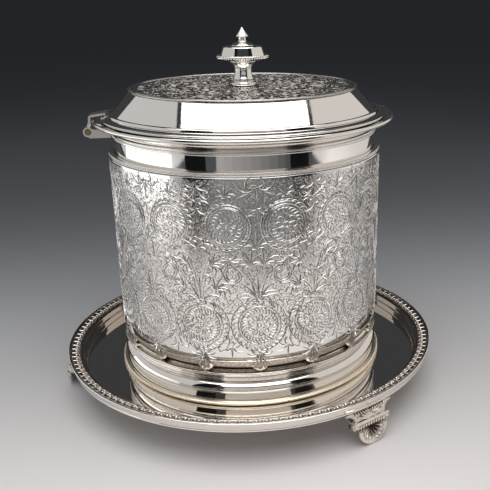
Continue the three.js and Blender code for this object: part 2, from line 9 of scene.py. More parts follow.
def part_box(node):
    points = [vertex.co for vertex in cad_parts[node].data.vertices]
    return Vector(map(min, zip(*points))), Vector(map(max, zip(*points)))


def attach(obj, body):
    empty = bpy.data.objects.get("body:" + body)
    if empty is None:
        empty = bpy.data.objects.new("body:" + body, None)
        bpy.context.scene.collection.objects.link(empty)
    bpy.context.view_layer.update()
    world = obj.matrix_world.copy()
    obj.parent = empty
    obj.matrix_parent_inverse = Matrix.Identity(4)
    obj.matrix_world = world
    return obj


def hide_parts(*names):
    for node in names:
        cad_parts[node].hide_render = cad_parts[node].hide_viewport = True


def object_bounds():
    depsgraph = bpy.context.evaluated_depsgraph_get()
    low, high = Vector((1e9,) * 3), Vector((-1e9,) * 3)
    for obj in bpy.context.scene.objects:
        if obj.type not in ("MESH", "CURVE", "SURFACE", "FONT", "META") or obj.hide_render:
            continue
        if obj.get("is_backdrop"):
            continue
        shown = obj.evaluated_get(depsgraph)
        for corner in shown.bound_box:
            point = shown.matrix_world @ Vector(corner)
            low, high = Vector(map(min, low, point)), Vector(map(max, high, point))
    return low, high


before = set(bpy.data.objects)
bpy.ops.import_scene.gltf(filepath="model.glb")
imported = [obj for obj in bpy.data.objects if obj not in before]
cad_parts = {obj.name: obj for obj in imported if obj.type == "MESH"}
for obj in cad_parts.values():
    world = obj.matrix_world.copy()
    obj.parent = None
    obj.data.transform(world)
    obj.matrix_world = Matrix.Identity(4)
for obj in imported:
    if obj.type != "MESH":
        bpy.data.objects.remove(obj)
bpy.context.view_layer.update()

# The camera stands half a metre in front, a little above the lid, and looks down on the barrel.
# The photograph is a crop of a wider picture, so the lens is shifted as the crop is.
MM = 0.001
IMAGE_WIDTH = 490  # pixels
FOCAL_LENGTH = 752.7  # pixels
CROP_SHIFT = (61.8, -19.7)  # pixels from the picture's middle to the lens axis, right and down
SENSOR = 36.0
STAND_OFF = 473.9 * MM
AIM_LEVEL = 96 * MM
LOOK_DOWN = math.radians(17.49)
TURN = math.radians(-3.7)
PAN = math.radians(4.44)
ROLL = math.radians(-1.9)


def placed(name, data):
    """A new object in the scene that shows the mesh, lamp or camera."""
    made = bpy.data.objects.new(name, data)
    bpy.context.scene.collection.objects.link(made)
    return made


lens = bpy.data.cameras.new("camera")
lens.sensor_width = SENSOR
lens.lens = FOCAL_LENGTH * SENSOR / IMAGE_WIDTH
lens.shift_x = -CROP_SHIFT[0] / IMAGE_WIDTH
lens.shift_y = CROP_SHIFT[1] / IMAGE_WIDTH
lens.clip_start = 10 * MM
camera = placed("camera", lens)
bpy.context.scene.camera = camera
place = Vector((0, -STAND_OFF * math.cos(LOOK_DOWN), AIM_LEVEL + STAND_OFF * math.sin(LOOK_DOWN)))
camera.matrix_world = (
    Matrix.Rotation(TURN, 4, "Z")
    @ Matrix.Translation(place)
    @ Matrix.Rotation(math.pi / 2 - LOOK_DOWN, 4, "X")
    @ Matrix.Rotation(-PAN, 4, "Y")
    @ Matrix.Rotation(ROLL, 4, "Z")
)
bpy.context.scene.view_settings.view_transform = "Standard"


# The studio is a pale table whose colour is painted with a pool of light that falls off into the dark,
# under one wide softbox, between two white cards and before a row of dim front lamps. Two black cards
# between them draw the dark lines in the silver.
class Reading:
    """One value in a material's nodes, so that shader maths is written as arithmetic."""

    def __init__(self, finish, socket):
        self.finish = finish
        self.socket = socket

    def maths(self, operation, *values):
        return self.finish.node("ShaderNodeMath", {"operation": operation}, values)

    def __add__(self, other):
        return self.maths("ADD", self, other)

    def __sub__(self, other):
        return self.maths("SUBTRACT", self, other)

    def __rsub__(self, other):
        return self.maths("SUBTRACT", other, self)

    def __mul__(self, other):
        return self.maths("MULTIPLY", self, other)

    def __truediv__(self, other):
        return self.maths("DIVIDE", self, other)

    def __pow__(self, other):
        return self.maths("POWER", self, other)

    __radd__ = __add__
    __rmul__ = __mul__

    def size(self):
        return self.maths("ABSOLUTE", self)

    def sine(self):
        return self.maths("SINE", self)

    def step(self, low, high):
        """0 below low and 1 above high, or the other way round where low is the higher."""
        return self.finish.node(
            "ShaderNodeMapRange",
            {"interpolation_type": "SMOOTHSTEP"},
            {"Value": self, "From Min": min(low, high), "From Max": max(low, high),
             "To Min": float(low > high), "To Max": float(low <= high)},
        )


class Finish:
    """A material: its Principled shader and the nodes that vary it."""

    def __init__(self, name, **constants):
        self.material = bpy.data.materials.new(name)
        self.material.use_nodes = True
        self.tree = self.material.node_tree
        self.shader = self.tree.nodes["Principled BSDF"]
        for socket, value in constants.items():
            self.feed(socket.replace("_", " "), value)
        self.place = self.node("ShaderNodeTexCoord", {}, {}, "Object")

    def node(self, kind, settings, values, output=0):
        made = self.tree.nodes.new(kind)
        for setting, value in settings.items():
            setattr(made, setting, value)
        named = values.items() if isinstance(values, dict) else enumerate(values)
        for socket, value in named:
            self.connect(made.inputs[socket], value)
        return Reading(self, made.outputs[output])

    def connect(self, socket, value):
        if isinstance(value, Reading):
            self.tree.links.new(value.socket, socket)
        elif hasattr(socket.default_value, "__len__") and len(socket.default_value) == 4:
            socket.default_value = (*value, 1)
        else:
            socket.default_value = value

    def feed(self, socket, value):
        self.connect(self.shader.inputs[socket], value)

    def noise(self, scale, detail, output=0):
        """Noise with so many waves in a metre and so many finer layers."""
        sockets = {"Vector": self.place, "Scale": scale, "Detail": detail}
        return self.node("ShaderNodeTexNoise", {}, sockets, output)

    def mix(self, share, first, second):
        """Two colours mixed: first where share is 0 and second where it is 1."""
        return self.node("ShaderNodeMix", {"data_type": "RGBA"}, {0: share, 6: first, 7: second}, 2)

    def mottle(self, scale, detail, low, high, first, second):
        """Colours the plate by noise: first where it is under low, and second where it is over high."""
        self.feed("Base Color", self.mix(self.noise(scale, detail).step(low, high), first, second))

    def bump(self, height, depth, below=None):
        """The surface's slope for a height in shares of depth, on top of the bump below."""
        sockets = {"Height": height, "Distance": depth, "Strength": 1.0}
        if below is not None:
            sockets["Normal"] = below
        return self.node("ShaderNodeBump", {}, sockets)

    def parts(self):
        """The place on the surface as three readings: across, along and up."""
        split = self.node("ShaderNodeSeparateXYZ", {}, [self.place]).socket.node
        return [Reading(self, out) for out in split.outputs]


TABLE_REACH = 60.0
PAINTED_POOL_LINE = -0.215  # the table's colour is painted brightest in front of this line, as a painted pool of light
PAINTED_POOL_DEPTH = 0.342
PAINTED_POOL_WIDTH = 1.3
PAINTED_POOL_END = (-0.46, -0.26)  # where the painted light fades out again towards the camera
TABLE_PALE = (0.865, 0.825, 0.80)
TABLE_PAINTED_COOL = (0.62, 0.65, 0.71)
TABLE_PAINTED_DARK = (0.070, 0.076, 0.085)
TABLE_PAINTED_GLOW = (0.0100, 0.0106, 0.0120)  # painted glow: a little light of the table's own, in place of the light that its far end gives back
SHADE_ACROSS = 0.03  # a painted shade lies on the table in front of the picture
SHADE_HALF_WIDTH = (0.10, 0.04)
SHADE_START = (-0.28, -0.36)
SHADE_DEPTH = 0.6
ROOM = (0.043, 0.044, 0.047)


def settled(name, bm):
    """The finished mesh of a bmesh, which is freed."""
    mesh = bpy.data.meshes.new(name)
    bm.to_mesh(mesh)
    bm.free()
    return mesh


table = bmesh.new()
bmesh.ops.create_grid(table, x_segments=1, y_segments=1, size=TABLE_REACH)
floor = placed("table", settled("table", table))
paper = Finish("table_paper", Roughness=0.9)
across, along, _ = paper.parts()
# The table's colour holds a painted pool of light that fades into painted dark behind and to the sides, and
# a painted shade in front.
behind = along.maths("MAXIMUM", along - PAINTED_POOL_LINE, 0.0)
spread = (behind / PAINTED_POOL_DEPTH) ** 2 * -1 - (across / PAINTED_POOL_WIDTH) ** 2
painted_pool = spread.maths("EXPONENT", spread) * along.step(*PAINTED_POOL_END)
shade = along.step(*SHADE_START) * (across - SHADE_ACROSS).size().step(*SHADE_HALF_WIDTH)
painted_light_tone = paper.mix(painted_pool, TABLE_PAINTED_DARK, paper.mix(painted_pool, TABLE_PAINTED_COOL, TABLE_PALE))
paper.feed("Base Color", paper.mix(shade * SHADE_DEPTH, painted_light_tone, TABLE_PAINTED_DARK))
# A painted glow: the table gives off a little light of its own, though it is no lamp.
paper.feed("Emission Color", TABLE_PAINTED_GLOW)
paper.feed("Emission Strength", 1.0)
floor.data.materials.append(paper.material)
floor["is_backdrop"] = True

world = bpy.data.worlds.new("room")
bpy.context.scene.world = world
world.use_nodes = True
world.node_tree.nodes["Background"].inputs["Color"].default_value = (*ROOM, 1)


def softbox(name, place, width, height, glow, aim, colour):
    """A rectangular lamp of the given brightness, where 1 is white, that faces a point."""
    lamp = bpy.data.lights.new(name, "AREA")
    lamp.shape = "RECTANGLE"
    lamp.size = width
    lamp.size_y = height
    lamp.energy = glow * math.pi * width * height
    lamp.color = colour
    body = placed(name, lamp)
    body.location = place
    body.rotation_euler = (Vector(aim) - Vector(place)).to_track_quat("-Z", "Y").to_euler()
    body.visible_camera = False


FLAG_REACH = 380
FLAG_TOP = 500
FLAG_FOOT = 0.5


def around(radius, angle, level):
    """The place in metres at a radius and a level in millimetres, round the barrel's axis."""
    return radius * math.cos(angle) * MM, radius * math.sin(angle) * MM, level * MM


def flag(name, start, end):
    """A black card that stands on the table between two bearings, in degrees from the front."""
    bm = bmesh.new()
    corners = []
    for bearing, level in ((start, FLAG_FOOT), (end, FLAG_FOOT), (end, FLAG_TOP), (start, FLAG_TOP)):
        corners.append(bm.verts.new(around(FLAG_REACH, math.radians(bearing - 90), level)))
    bm.faces.new(corners)
    card = placed(name, settled(name, bm))
    card.data.materials.append(black_cloth.material)
    card.visible_camera = False
    card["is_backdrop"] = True


black_cloth = Finish("black_cloth", Base_Color=(0.008, 0.009, 0.011), Roughness=0.9, Specular_IOR_Level=0.1)
flag("flag_left", -50.5, -34.2)
flag("flag_right", 29.8, 44.8)
WHITE = (1, 1, 1)
WARM = (1, 0.96, 0.92)
WARMER = (1, 0.95, 0.91)
WARMEST = (1, 0.94, 0.91)
softbox("softbox_overhead", (0, -0.40, 0.95), 1.12, 1.2, 2.3, (0, -0.40, 0), WHITE)
softbox("card_left", (-0.6, 0.15, 0.48), 1.30, 0.94, 0.50, (0, 0.15, 0.48), WHITE)
softbox("low_left", (-0.5, 0.02, 0.075), 0.53, 0.14, 1.1, (0, 0.02, 0.075), WHITE)
softbox("card_right", (0.6, 0.06, 0.48), 1.10, 0.94, 0.60, (0, 0.06, 0.48), WARM)
softbox("front_high", (0, -0.62, 0.31), 0.66, 0.22, 0.42, (0, 0, 0.31), WARMER)
FRONT_STRIPS = 8
FRONT_PLACE = -0.62
FRONT_LEVEL = 0.18
STRIP_WIDTH = 0.08
STRIP_HEIGHT = 0.36
LEFT_GLOW = 0.30
GLOW_STEP = 0.038  # each strip is so much dimmer than the one on its left
for i in range(FRONT_STRIPS):
    across = (i - (FRONT_STRIPS - 1) / 2) * STRIP_WIDTH
    glow = LEFT_GLOW - GLOW_STEP * i
    place, aim = (across, FRONT_PLACE, FRONT_LEVEL), (across, 0, FRONT_LEVEL)
    softbox(f"front_{i + 1}", place, STRIP_WIDTH, STRIP_HEIGHT, glow, aim, WARMEST)

# The tray is spun from one sheet: a flat polished well, a wall of two steps and a turned-down rim,
# plated with silver. The barrel is tied to it by a stud through a hole in the middle.
RING_STEPS = 192
SILVER = (0.93, 0.898, 0.855)
SILVER_WORN = (0.86, 0.81, 0.74)


def bright_silver(name, polish=0.02, dullness=0.05, colour=SILVER):
    """Polished silver plate: faint smudges and wiping marks, and hairline scratches."""
    finish = Finish(name, Metallic=1.0)
    smudge = finish.noise(28, 4).step(0.42, 0.75)
    cloth = finish.noise(240, 2)
    finish.feed("Roughness", polish + smudge * dullness + cloth * 0.02)
    worn = finish.noise(75, 5).step(0.55, 0.85) * 0.25
    finish.tone = finish.mix(worn, colour, SILVER_WORN)
    finish.feed("Base Color", finish.tone)
    dents = finish.bump(finish.noise(22, 1), 0.00025)
    finish.feed("Normal", finish.bump(finish.noise(1500, 2), 0.000004, dents))
    return finish


def bow(start, end, rise, steps):
    """The points inside a curved stretch, bowed to the left of the way from start to end."""
    start, end = Vector(start), Vector(end)
    side = Vector((start.y - end.y, end.x - start.x)).normalized()
    shares = [(i + 1) / steps for i in range(steps - 1)]
    return [tuple(start.lerp(end, t) + side * 4 * rise * t * (1 - t)) for t in shares]


def half_round(wall, width, low, height, steps=12):
    """A wire of half-round section on a wall, from its lower edge round to its upper."""
    angles = [math.pi * (i / steps - 0.5) for i in range(steps + 1)]
    return [(wall + width * math.cos(a), low + height * (1 + math.sin(a)) / 2) for a in angles]


CORNER_STEPS = 3
NEARLY_STRAIGHT = math.radians(24)
GUARD = 0.3  # the share of a corner's cut at which a point keeps the face beside it flat


def softened(outline, soft):
    """The outline with its corners rounded, and a point kept close on each side of them."""
    points = [Vector(p) for p in outline]
    points = [p for p, after in zip(points, points[1:] + points[:1]) if (p - after).length > 0.001]
    made = []
    for before, here, after in zip(points[-1:] + points[:-1], points, points[1:] + points[:1]):
        back, ahead = before - here, after - here
        if here.x < 1e-6 or math.pi - back.angle(ahead) < NEARLY_STRAIGHT:
            made.append(here)
            continue
        cut = min(soft, back.length / 2.6, ahead.length / 2.6)
        first, last = here + back.normalized() * cut, here + ahead.normalized() * cut
        made.append(first + back.normalized() * cut * GUARD)
        for i in range(CORNER_STEPS + 1):
            t = i / CORNER_STEPS
            made.append(first.lerp(here, t).lerp(here.lerp(last, t), t))
        made.append(last + ahead.normalized() * cut * GUARD)
    return made


def turned(outline, soft=0.25, steps=RING_STEPS):
    """An outline of radii and levels in millimetres, spun round the barrel's axis."""
    bm = bmesh.new()
    corners = [bm.verts.new((p.x * MM, 0, p.y * MM)) for p in softened(outline, soft)]
    for here, after in zip(corners, corners[1:] + corners[:1]):
        if here.co.x > 1e-9 or after.co.x > 1e-9:
            bm.edges.new((here, after))
    bmesh.ops.spin(
        bm, geom=bm.verts[:] + bm.edges[:], cent=(0, 0, 0), axis=(0, 0, 1),
        angle=2 * math.pi, steps=steps, use_merge=True, use_duplicate=False,
    )
    bmesh.ops.remove_doubles(bm, verts=bm.verts, dist=1e-7)
    bmesh.ops.recalc_face_normals(bm, faces=bm.faces)
    return bm


def piece(name, bm, finish, slot, body, *nodes, sharp=50):
    """Makes the mesh a piece with its finish, on a body, in the place of CAD nodes."""
    mesh = settled(name, bm)
    mesh.materials.append(finish.material)
    mesh.shade_smooth()
    mesh.set_sharp_from_angle(angle=math.radians(sharp))
    made = placed(name, mesh)
    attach(made, body)
    if nodes:
        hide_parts(*nodes)


def limits(node):
    """A ring's outer radius, lower level and upper level, in millimetres."""
    low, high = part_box(node)
    return max(high.x, high.y) / MM, low.z / MM, high.z / MM


SEAM = 0.3  # clearance between soldered pieces
SHEET = 1.2  # thickness of the metal
CORNER_STAIN = (0.36, 0.30, 0.235)  # tarnish at the foot of the tray's wall
polished = bright_silver("polished_silver")
tray_silver = bright_silver("tray_silver", 0.02, 0.06, (0.93, 0.885, 0.83))
across, along, _ = tray_silver.parts()
reach = (across * across + along * along) ** 0.5
corner = reach.step(0.1036, 0.1046) * reach.step(0.1078, 0.1072)
tray_silver.feed("Base Color", tray_silver.mix(corner * 0.65, tray_silver.tone, CORNER_STAIN))
tray_radius, tray_under, rim_top = limits("tray")
well = tray_under + SHEET
rim_low = rim_top - 6.3
rim_low_radius = tray_radius - 2.2
border_outer = tray_radius - 0.6
border_inner = border_outer - 7
seat_outer = rim_top - 1.3
seat_inner = seat_outer - 1.2
wall_foot = border_inner - 2.8
tie_hole = 2.8
wall_step = (seat_inner - well) / 2

outline = [
    (tie_hole, well),
    (wall_foot - 0.5, well),
    (wall_foot, well + 0.3),
    (wall_foot + 0.1, well + wall_step),
    (wall_foot + 1.3, well + wall_step + 0.15),
    (wall_foot + 1.4, well + 2 * wall_step - 0.3),
    (border_inner, seat_inner - 0.1),
    (border_outer, seat_outer),
    (border_outer, rim_top),
    (tray_radius, rim_top - 0.35),
    (rim_low_radius + 0.5, rim_low + 1.7),
    (rim_low_radius + 0.2, rim_low + 1.45),
    (rim_low_radius + 0.35, rim_low + 1.1),
    *bow((rim_low_radius + 0.35, rim_low + 1.1), (rim_low_radius - 0.1, rim_low), 0.2, 4),
    (rim_low_radius - SHEET, rim_low),
    (border_outer - SHEET, seat_outer - SHEET),
    (border_inner + 0.4, seat_inner - SHEET),
    (wall_foot + 0.4, tray_under),
    (tie_hole, tray_under),
]
piece("tray_sheet", turned(outline), tray_silver, "bright_plate", "barrel", "tray")

# The skirt under the drum is spun sheet: a nearly straight band below a shelf, and a narrower band
# above it. A torus of quarter-round section lies on the shelf, and above it two reeds run under a
# plinth, all soldered on.
shelf_radius, skirt_low, skirt_top = limits("base_skirt")
skirt_radius = shelf_radius - 0.4
girdle = skirt_radius - 3.2
band_low, band_high = skirt_low + 2.5, skirt_low + 6.6
shelf_top = band_high + 2.2
outline = [
    (skirt_radius, skirt_low),
    (skirt_radius, band_low),
    *bow((skirt_radius, band_low), (skirt_radius, band_high), 0.04, 12),
    (skirt_radius, band_high),
    (skirt_radius + 0.4, band_high + 0.15),
    *bow((skirt_radius + 0.4, band_high + 0.15), (skirt_radius - 0.1, band_high + 0.75), -0.12, 4),
    (skirt_radius - 0.1, band_high + 0.85),
    (shelf_radius, band_high + 1.0),
    *bow((shelf_radius, band_high + 1.0), (shelf_radius, shelf_top - 0.1), -0.12, 4),
    (shelf_radius - 0.1, shelf_top),
    (girdle, shelf_top),
    (girdle, skirt_top),
    (girdle - 4.4, skirt_top),
    (girdle - 4.4, skirt_top - SHEET),
    (girdle - SHEET, skirt_top - SHEET),
    (girdle - SHEET, shelf_top - SHEET),
    (skirt_radius - SHEET, band_high),
    (skirt_radius - SHEET, skirt_low),
]
piece("skirt", turned(outline, 0.12), tray_silver, "bright_plate", "barrel", "base_skirt")

torus_radius, torus_low, torus_high = limits("girdle_torus")
torus_wall = girdle + SEAM
outline = [
    (torus_wall, torus_low),
    (torus_radius - 0.25, torus_low),
    (torus_radius, torus_low + 0.3),
    *bow((torus_radius, torus_low + 0.3), (torus_wall, torus_high), -0.55, 16),
    (torus_wall, torus_high),
]
piece("torus", turned(outline, 0.08), tray_silver, "bright_plate", "barrel", "girdle_torus")

plinth_radius, reeds_low, plinth_top = limits("girdle_reeds")
reed_face = torus_wall + 1.3
reed_height = 1.2
reed_depth = 0.6
fillet_depth = 0.45
cove_foot = (reed_face - 0.5, reeds_low + 2 * reed_height)
cove_head = (plinth_radius - 0.5, plinth_top - 2.2)
outline = [
    (torus_wall, reeds_low),
    *half_round(reed_face - reed_depth, reed_depth, reeds_low, reed_height, 8),
    *half_round(reed_face - reed_depth, reed_depth, reeds_low + reed_height, reed_height, 8),
    cove_foot,
    *bow(cove_foot, cove_head, 0.5, 8),
    *half_round(plinth_radius - fillet_depth, fillet_depth, plinth_top - 2.2, 1.25, 8),
    *bow((plinth_radius - 0.5, plinth_top - 0.9), (torus_wall, plinth_top), 0.5, 8),
    (torus_wall, plinth_top),
]
piece("plinth_and_reeds", turned(outline, 0.05), tray_silver, "bright_plate", "barrel", "girdle_reeds")

# The drum is a seamed sheet cylinder, a little wider at its shoulder and drawn in at its foot.
# All but its edges is chased with scrolls round rosettes, over a ground of small curls. The lines
# stand out of the surface, which the chaser's punches have left less bright than the plain plate.
drum_top, drum_low, drum_high = limits("barrel_wall")
drum_radius = drum_top - 0.7
drawn_in = drum_radius - 5.9
spring = drum_low + 8.8
shoulder = drum_top - 2.9
floor_low = limits("barrel_floor")[1]
drum_face = [
    (drawn_in, drum_low),
    *bow((drawn_in, drum_low), (drum_radius, spring), -1.56, 14),
    (drum_radius, spring),
    (drum_radius, spring + 1),
    (drum_top, drum_high - 0.35),
]
outline = drum_face + [
    (drum_top - 0.3, drum_high),
    (shoulder, drum_high),
    (shoulder, drum_high - SHEET),
    (drum_top - SHEET, drum_high - 0.9 - SHEET),
    (drum_radius - SHEET, spring),
    (drawn_in + SEAM, floor_low - SEAM),
    (drawn_in - SHEET, drum_low + SEAM),
]


def drum_at(across, level):
    """The place on the drum's face that lies so far round from the front, and at a level."""
    for (radius, low), (next_radius, high) in zip(drum_face, drum_face[1:]):
        if level <= high:
            break
    share = min(1, max(0, (level - low) / (high - low)))
    radius += (next_radius - radius) * share
    return around(radius, across / drum_radius - math.pi / 2, level)


def spiral(centre, radius, end_radius, start, turns, steps):
    """Points of a spiral. The start and the length are in turns, from the right and to the left."""
    points = []
    for i in range(steps + 1):
        reach = radius + (end_radius - radius) * i / steps
        angle = 2 * math.pi * (start + turns * i / steps)
        points.append((centre[0] + reach * math.cos(angle), centre[1] + reach * math.sin(angle)))
    return points


def beside(points, gap):
    """The same line, moved to its left by the gap."""
    moved = []
    for i, (x, y) in enumerate(points):
        (x0, y0), (x1, y1) = points[max(0, i - 1)], points[min(len(points) - 1, i + 1)]
        long = math.hypot(x1 - x0, y1 - y0)
        moved.append((x - gap * (y1 - y0) / long, y + gap * (x1 - x0) / long))
    return moved


PETAL = ((0.17, 0), (0.28, -0.36), (0.40, -0.288), (0.46, 0), (0.40, 0.288), (0.28, 0.36), (0.17, 0))
INNER_RAY = ((0.52, 0), (0.62, 0.006), (0.71, 0.022), (0.75, 0.045), (0.71, 0.06))
OUTER_RAY = ((0.90, 0.01), (1.0, 0.018), (1.09, 0.036), (1.10, 0.058), (1.03, 0.066))


def rosette(centre, size, petals, rays):
    """Strokes of a flower: an eye, petals, two fans of rays and a ring, in shares of its radius."""
    def polar(reach, turn):
        angle = 2 * math.pi * turn
        return centre[0] + size * reach * math.cos(angle), centre[1] + size * reach * math.sin(angle)

    made = [(spiral(centre, size * 0.09, size * 0.09, 0, 1, 7), 0.20)]
    for i in range(petals):
        made.append(([polar(reach, (i + side) / petals) for reach, side in PETAL], 0.19))
    for i in range(rays):
        for ray, width in ((INNER_RAY, 0.20), (OUTER_RAY, 0.21)):
            made.append(([polar(reach, i / rays + side) for reach, side in ray], width))
    made.append((spiral(centre, size * 0.86, size * 0.82, 0.80, 0.93, 40), 0.17))
    return made


FAN = 1.15  # radians from the middle leaf to the last
LEAF_CURL = 0.9
SHORT_LEAF = 0.45  # how much shorter the last leaf is


def frond(root, heading, length, leaves, bend=0.0):
    """Strokes of a leaf spray that fans out from its root, its middle leaf the longest."""
    made = []
    for i in range(leaves):
        side = 2 * i / (leaves - 1) - 1
        reach = length * (1 - SHORT_LEAF * side * side)
        angle = heading + side * FAN
        points = []
        for t in (0.12, 0.35, 0.6, 0.82, 1.0):
            turn = angle + (bend + side * LEAF_CURL) * t * t
            points.append((root[0] + reach * t * math.cos(turn), root[1] + reach * t * math.sin(turn)))
        made.append((points, 0.24))
    return made


def fill_with_curls(strokes, draw, low, high, inside, close):
    """Seeded curls, closely set where the strokes leave room. inside says if a place is in the field."""
    taken = {}

    def note(points):
        for x, y in points:
            taken.setdefault((int(x // close), int(y // close)), []).append((x, y))

    def free(points, gap):
        for x, y in points:
            i, j = int(x // close), int(y // close)
            for a in (i - 1, i, i + 1):
                for b in (j - 1, j, j + 1):
                    if any(math.hypot(x - p, y - q) < gap for p, q in taken.get((a, b), ())):
                        return False
        return True

    for points, _ in strokes:
        for (x0, y0), (x1, y1) in zip(points, points[1:]):
            parts = max(1, int(math.hypot(x1 - x0, y1 - y0) / 0.6))
            note([(x0 + (x1 - x0) * k / parts, y0 + (y1 - y0) * k / parts) for k in range(parts)])
    made = []
    for tries, size in ((1500, 1.7), (5000, 1.2), (9000, 0.8)):
        for _ in range(tries):
            centre = (draw.uniform(low[0], high[0]), draw.uniform(low[1], high[1]))
            turns = draw.uniform(0.55, 0.8) * draw.choice((-1, 1))
            points = spiral(centre, size, size * 0.35, draw.random(), turns, 5)
            if all(inside(*p) for p in points) and free(points, close * 0.52 + size * 0.12):
                note(points)
                made.append((points, 0.19))
    return made


def raised(strokes, wrap):
    """Lines of diamond section along the strokes, each a list of points and a greatest half width."""
    curve = bpy.data.curves.new("strokes", "CURVE")
    curve.dimensions = "3D"
    curve.bevel_depth = MM
    curve.bevel_resolution = 0
    curve.use_fill_caps = True
    for points, width in strokes:
        line = curve.splines.new("POLY")
        line.points.add(len(points) - 1)
        for i, point in enumerate(points):
            line.points[i].co = (*wrap(*point), 1)
            line.points[i].radius = width * (1 - 0.6 * abs(2 * i / (len(points) - 1) - 1) ** 3)
    body = bpy.data.objects.new("strokes", curve)
    mesh = bpy.data.meshes.new_from_object(body)
    bpy.data.objects.remove(body)
    bpy.data.curves.remove(curve)
    return mesh


def repeated(bm, mesh, count):
    """Adds the mesh count times, evenly round the barrel's axis, and takes it away."""
    for _ in range(count):
        mesh.transform(Matrix.Rotation(2 * math.pi / count, 4, "Z"))
        bm.from_mesh(mesh)
    bpy.data.meshes.remove(mesh)
    return bm


def lines(name, strokes, wrap, count, finish, slot, body):
    """A piece of raised lines round the barrel, with closed ends and every face turned outwards."""
    bm = repeated(bmesh.new(), raised(strokes, wrap), count)
    bmesh.ops.remove_doubles(bm, verts=bm.verts, dist=1e-6)
    bmesh.ops.recalc_face_normals(bm, faces=bm.faces)
    piece(name, bm, finish, slot, body)


# One repeat is an eighth of the turn, in two halves that mirror each other. Upper rosettes stand in
# the middle of each half and lower ones on the lines between them. Places are in millimetres.
REPEATS = 8
half = math.pi * drum_radius / REPEATS
CHASING_START = -32.3
upper, lower = (half / 2, 121.5), (0, 65.5)
UP = math.pi / 2


def half_repeat():
    made = rosette(upper, 12.2, 8, 22)
    stem = [(1.0, 79.5), (2.0, 87), (3.8, 95), (6.2, 102), (9.2, 107.2)]
    stem += spiral(upper, 14.0, 11.4, 0.72, 0.80, 36)
    made += [(stem, 0.21), (beside(stem, 1.5), 0.19)]
    arm = [(half - 0.8, 80.5), (half - 2.2, 88), (half - 5.5, 95), (half - 10.5, 99.5)]
    arm += spiral((half - 12.6, 94.6), 5.2, 1.6, 0.2, 1.15, 16)
    made += [(arm, 0.22), (beside(arm, -1.3), 0.19)]
    for root, heading, length, leaves, bend in (
        ((6.5, 100), 0.35, 9, 7, -0.5),
        ((half - 4, 100), 1.75, 11, 7, 0.4),
        ((half - 1, 82), 2.4, 9, 5, 0.5),
        ((0.8, 134), 1.0, 8, 5, -0.3),
        ((half - 3, 140), 2.9, 9, 5, -0.4),
        ((9, 86), 1.0, 8.5, 7, -0.6),
        ((half / 2, 53), -0.9, 7, 5, 0.4),
        ((half / 2, 104), -UP, 9, 7, 0),
        ((half / 2, 137), UP, 6.5, 7, 0),
        ((3.5, 112), 0.9, 6, 5, 0.8),
    ):
        made += frond(root, heading, length, leaves, bend)
    tail = [(13.6, 62), (14.9, 56), (13, 51.5), (9.5, 50.2), (8.6, 52.4), (10.4, 53)]
    made.append((tail, 0.24))
    made.append((spiral((half / 2 - 10.2, 138.6), 3.0, 0.9, 0.75, 1.15, 12), 0.22))
    made.append((spiral((4.2, 92), 2.6, 0.8, 0.5, -1.1, 10), 0.22))
    return made


on_line = rosette(lower, 14.0, 9, 30)
for level, heading, length, leaves in (
    (49.5, -UP, 9.5, 9), (78.8, UP, 15, 7), (143, -UP, 10, 7), (109, UP, 10, 7), (131, -UP, 7, 5),
):
    on_line += frond((0, level), heading, length, leaves)
strokes = half_repeat()
strokes += [([(2 * half - x, y) for x, y in points], width) for points, width in half_repeat()]
for line in (0, half):
    strokes += [([(x + line, y) for x, y in points], width) for points, width in on_line]


def in_chasing(across, level):
    """The field ends in scallops above the drum's foot, and a little below its shoulder."""
    scallop = 51 + 4.5 * math.cos(2 * math.pi * across / half)
    return scallop - 8 < level < 145.2 and level > 56 - 9 * abs(math.cos(math.pi * across / half)) ** 3


low, high = (-1, 44), (2 * half - 1, 145.5)
curls = fill_with_curls(strokes, random.Random(7), low, high, in_chasing, 1.25)


def on_drum(across, level):
    return drum_at(across + CHASING_START, level)


CURL_SCALE = 200.0  # curls in a metre
BEND_SCALE = 420.0
BEND_REACH = 0.0035
SCALLOP = 0.0085
FIELD_FOOT = (0.0550, 0.0556)
FIELD_HEAD = (0.1465, 0.1455)
BAND_FOOT = (0.0360, 0.0370)
BAND_HEAD = (0.0442, 0.0436)
chased = Finish("chased_silver", Metallic=1.0)
bend = chased.noise(BEND_SCALE, 1, "Color")
bend = chased.node("ShaderNodeVectorMath", {"operation": "SCALE"}, {0: bend, "Scale": BEND_REACH})
bent = chased.node("ShaderNodeVectorMath", {"operation": "ADD"}, [chased.place, bend])
curl = chased.node("ShaderNodeTexVoronoi", {"feature": "F1"}, {"Vector": bent, "Scale": CURL_SCALE})
across, along, level = chased.parts()
bearing = across.maths("ARCTAN2", across, along * -1)
scallop = (bearing * REPEATS - CHASING_START * REPEATS / drum_radius + math.pi / 2).sine().size()
field = (level + scallop ** 3 * SCALLOP).step(*FIELD_FOOT) * level.step(*FIELD_HEAD)
line = (curl * 10.5).sine().size().step(0.42, 0.12) * field
band = level.step(*BAND_HEAD) * level.step(*BAND_FOOT)
milling = chased.noise(900, 2).step(0.4, 0.6) * band
worn = chased.noise(40, 4).step(0.4, 0.7)
field_colour = chased.mix(line * (worn * 0.25 + 0.6), (0.96, 0.94, 0.915), (0.19, 0.17, 0.155))
band_colour = chased.mix(milling, (0.56, 0.49, 0.40), (0.24, 0.20, 0.15))
chased.feed("Base Color", chased.mix(band * 0.85, field_colour, band_colour))
chased.feed("Roughness", 0.06 + field * 0.14 + line * 0.2 + band * 0.42)
chased.feed("Normal", chased.bump(line + milling, -0.00008))
piece("drum", turned(outline, 0.3), chased, "chased_plate", "barrel", "barrel_wall")

lined = Finish("chased_lines", Metallic=1.0, Roughness=0.38)
lined.mottle(300, 3, 0.3, 0.7, (0.42, 0.39, 0.36), (0.17, 0.15, 0.135))
lines("drum_scrolls", strokes, on_drum, REPEATS, lined, "chased_plate", "barrel")

